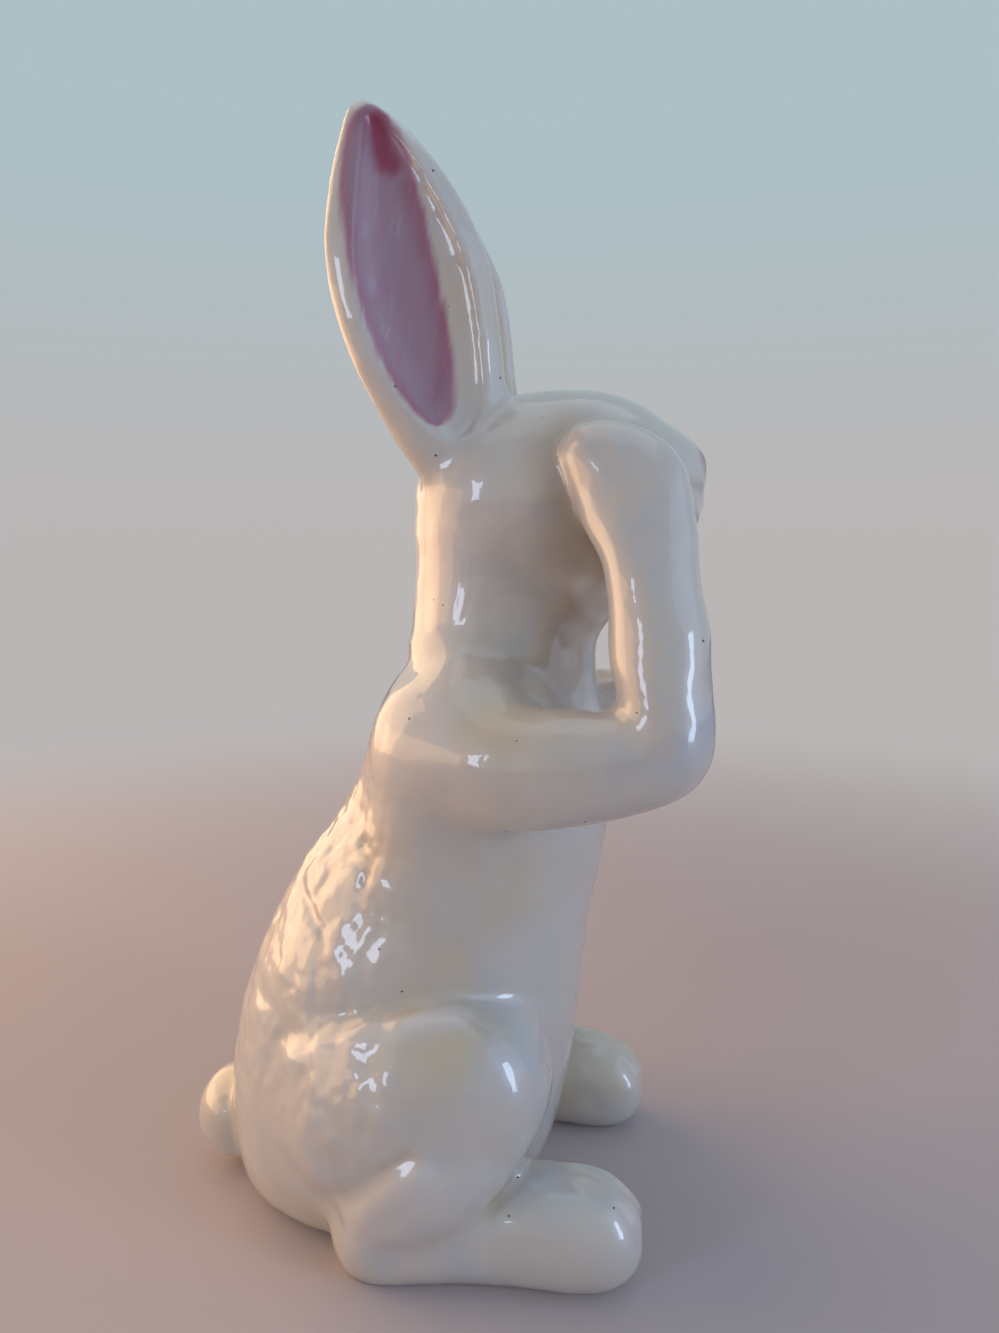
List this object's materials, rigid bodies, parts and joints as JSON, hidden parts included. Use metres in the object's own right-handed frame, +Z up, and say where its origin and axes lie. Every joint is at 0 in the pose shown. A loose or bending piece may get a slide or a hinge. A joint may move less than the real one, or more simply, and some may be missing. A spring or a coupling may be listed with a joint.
{
  "type": "ceramic rabbit figurine",
  "caption": "Glazed ceramic rabbit sitting upright with its front paws over its eyes, tall scooped ears, round haunches, long feet and a ball tail.",
  "frame": {"origin": "on the ground, under the middle of the figure's bounding box", "axes": "+Z up; the rabbit looks along -Y, its right side is -X, and X = 0 is the plane that its two sides mirror in"},
  "size_m": [0.116, 0.1507, 0.3],
  "materials": {
    "white_glaze": "thick glossy ivory-white glaze"
  },
  "bodies": {
    "root": {"body_shell": "white_glaze", "head_shell": "white_glaze", "right_ear": "white_glaze", "left_ear": "white_glaze", "right_arm": "white_glaze", "left_arm": "white_glaze", "right_haunch": "white_glaze", "left_haunch": "white_glaze", "right_foot": "white_glaze", "left_foot": "white_glaze", "tail": "white_glaze"}
  },
  "joints": []
}
